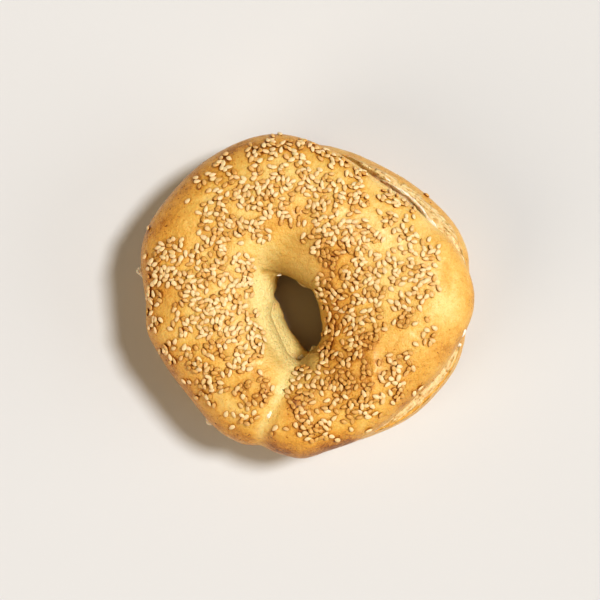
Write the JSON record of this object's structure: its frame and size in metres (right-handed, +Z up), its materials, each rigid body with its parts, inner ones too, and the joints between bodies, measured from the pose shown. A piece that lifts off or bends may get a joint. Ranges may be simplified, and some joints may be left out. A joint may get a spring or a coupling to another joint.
{
  "type": "bagel with cream cheese",
  "caption": "Sliced round bagel with a sesame-seeded crust, an oblique oval hole and a layer of cream cheese between its halves, lying on its flat underside",
  "frame": {"origin": "under the middle of the bagel's outline, on the plane of its flat underside", "axes": "+Z up through the halves; +X to the side where the bottom half shows behind the top half; +Y away from the side with the rope's join"},
  "size_m": [0.1312, 0.1252, 0.0435],
  "materials": {
    "bottom_crust": "baked bread crust, satin, with pale crumb on the cut face",
    "cream_cheese": "moist, softly glossy",
    "top_crust": "golden baked crust, satin, with toasted sesame seeds"
  },
  "bodies": {
    "root": {"bagel_bottom": "bottom_crust", "cream_cheese": "cream_cheese", "bagel_top": "top_crust"}
  },
  "joints": []
}
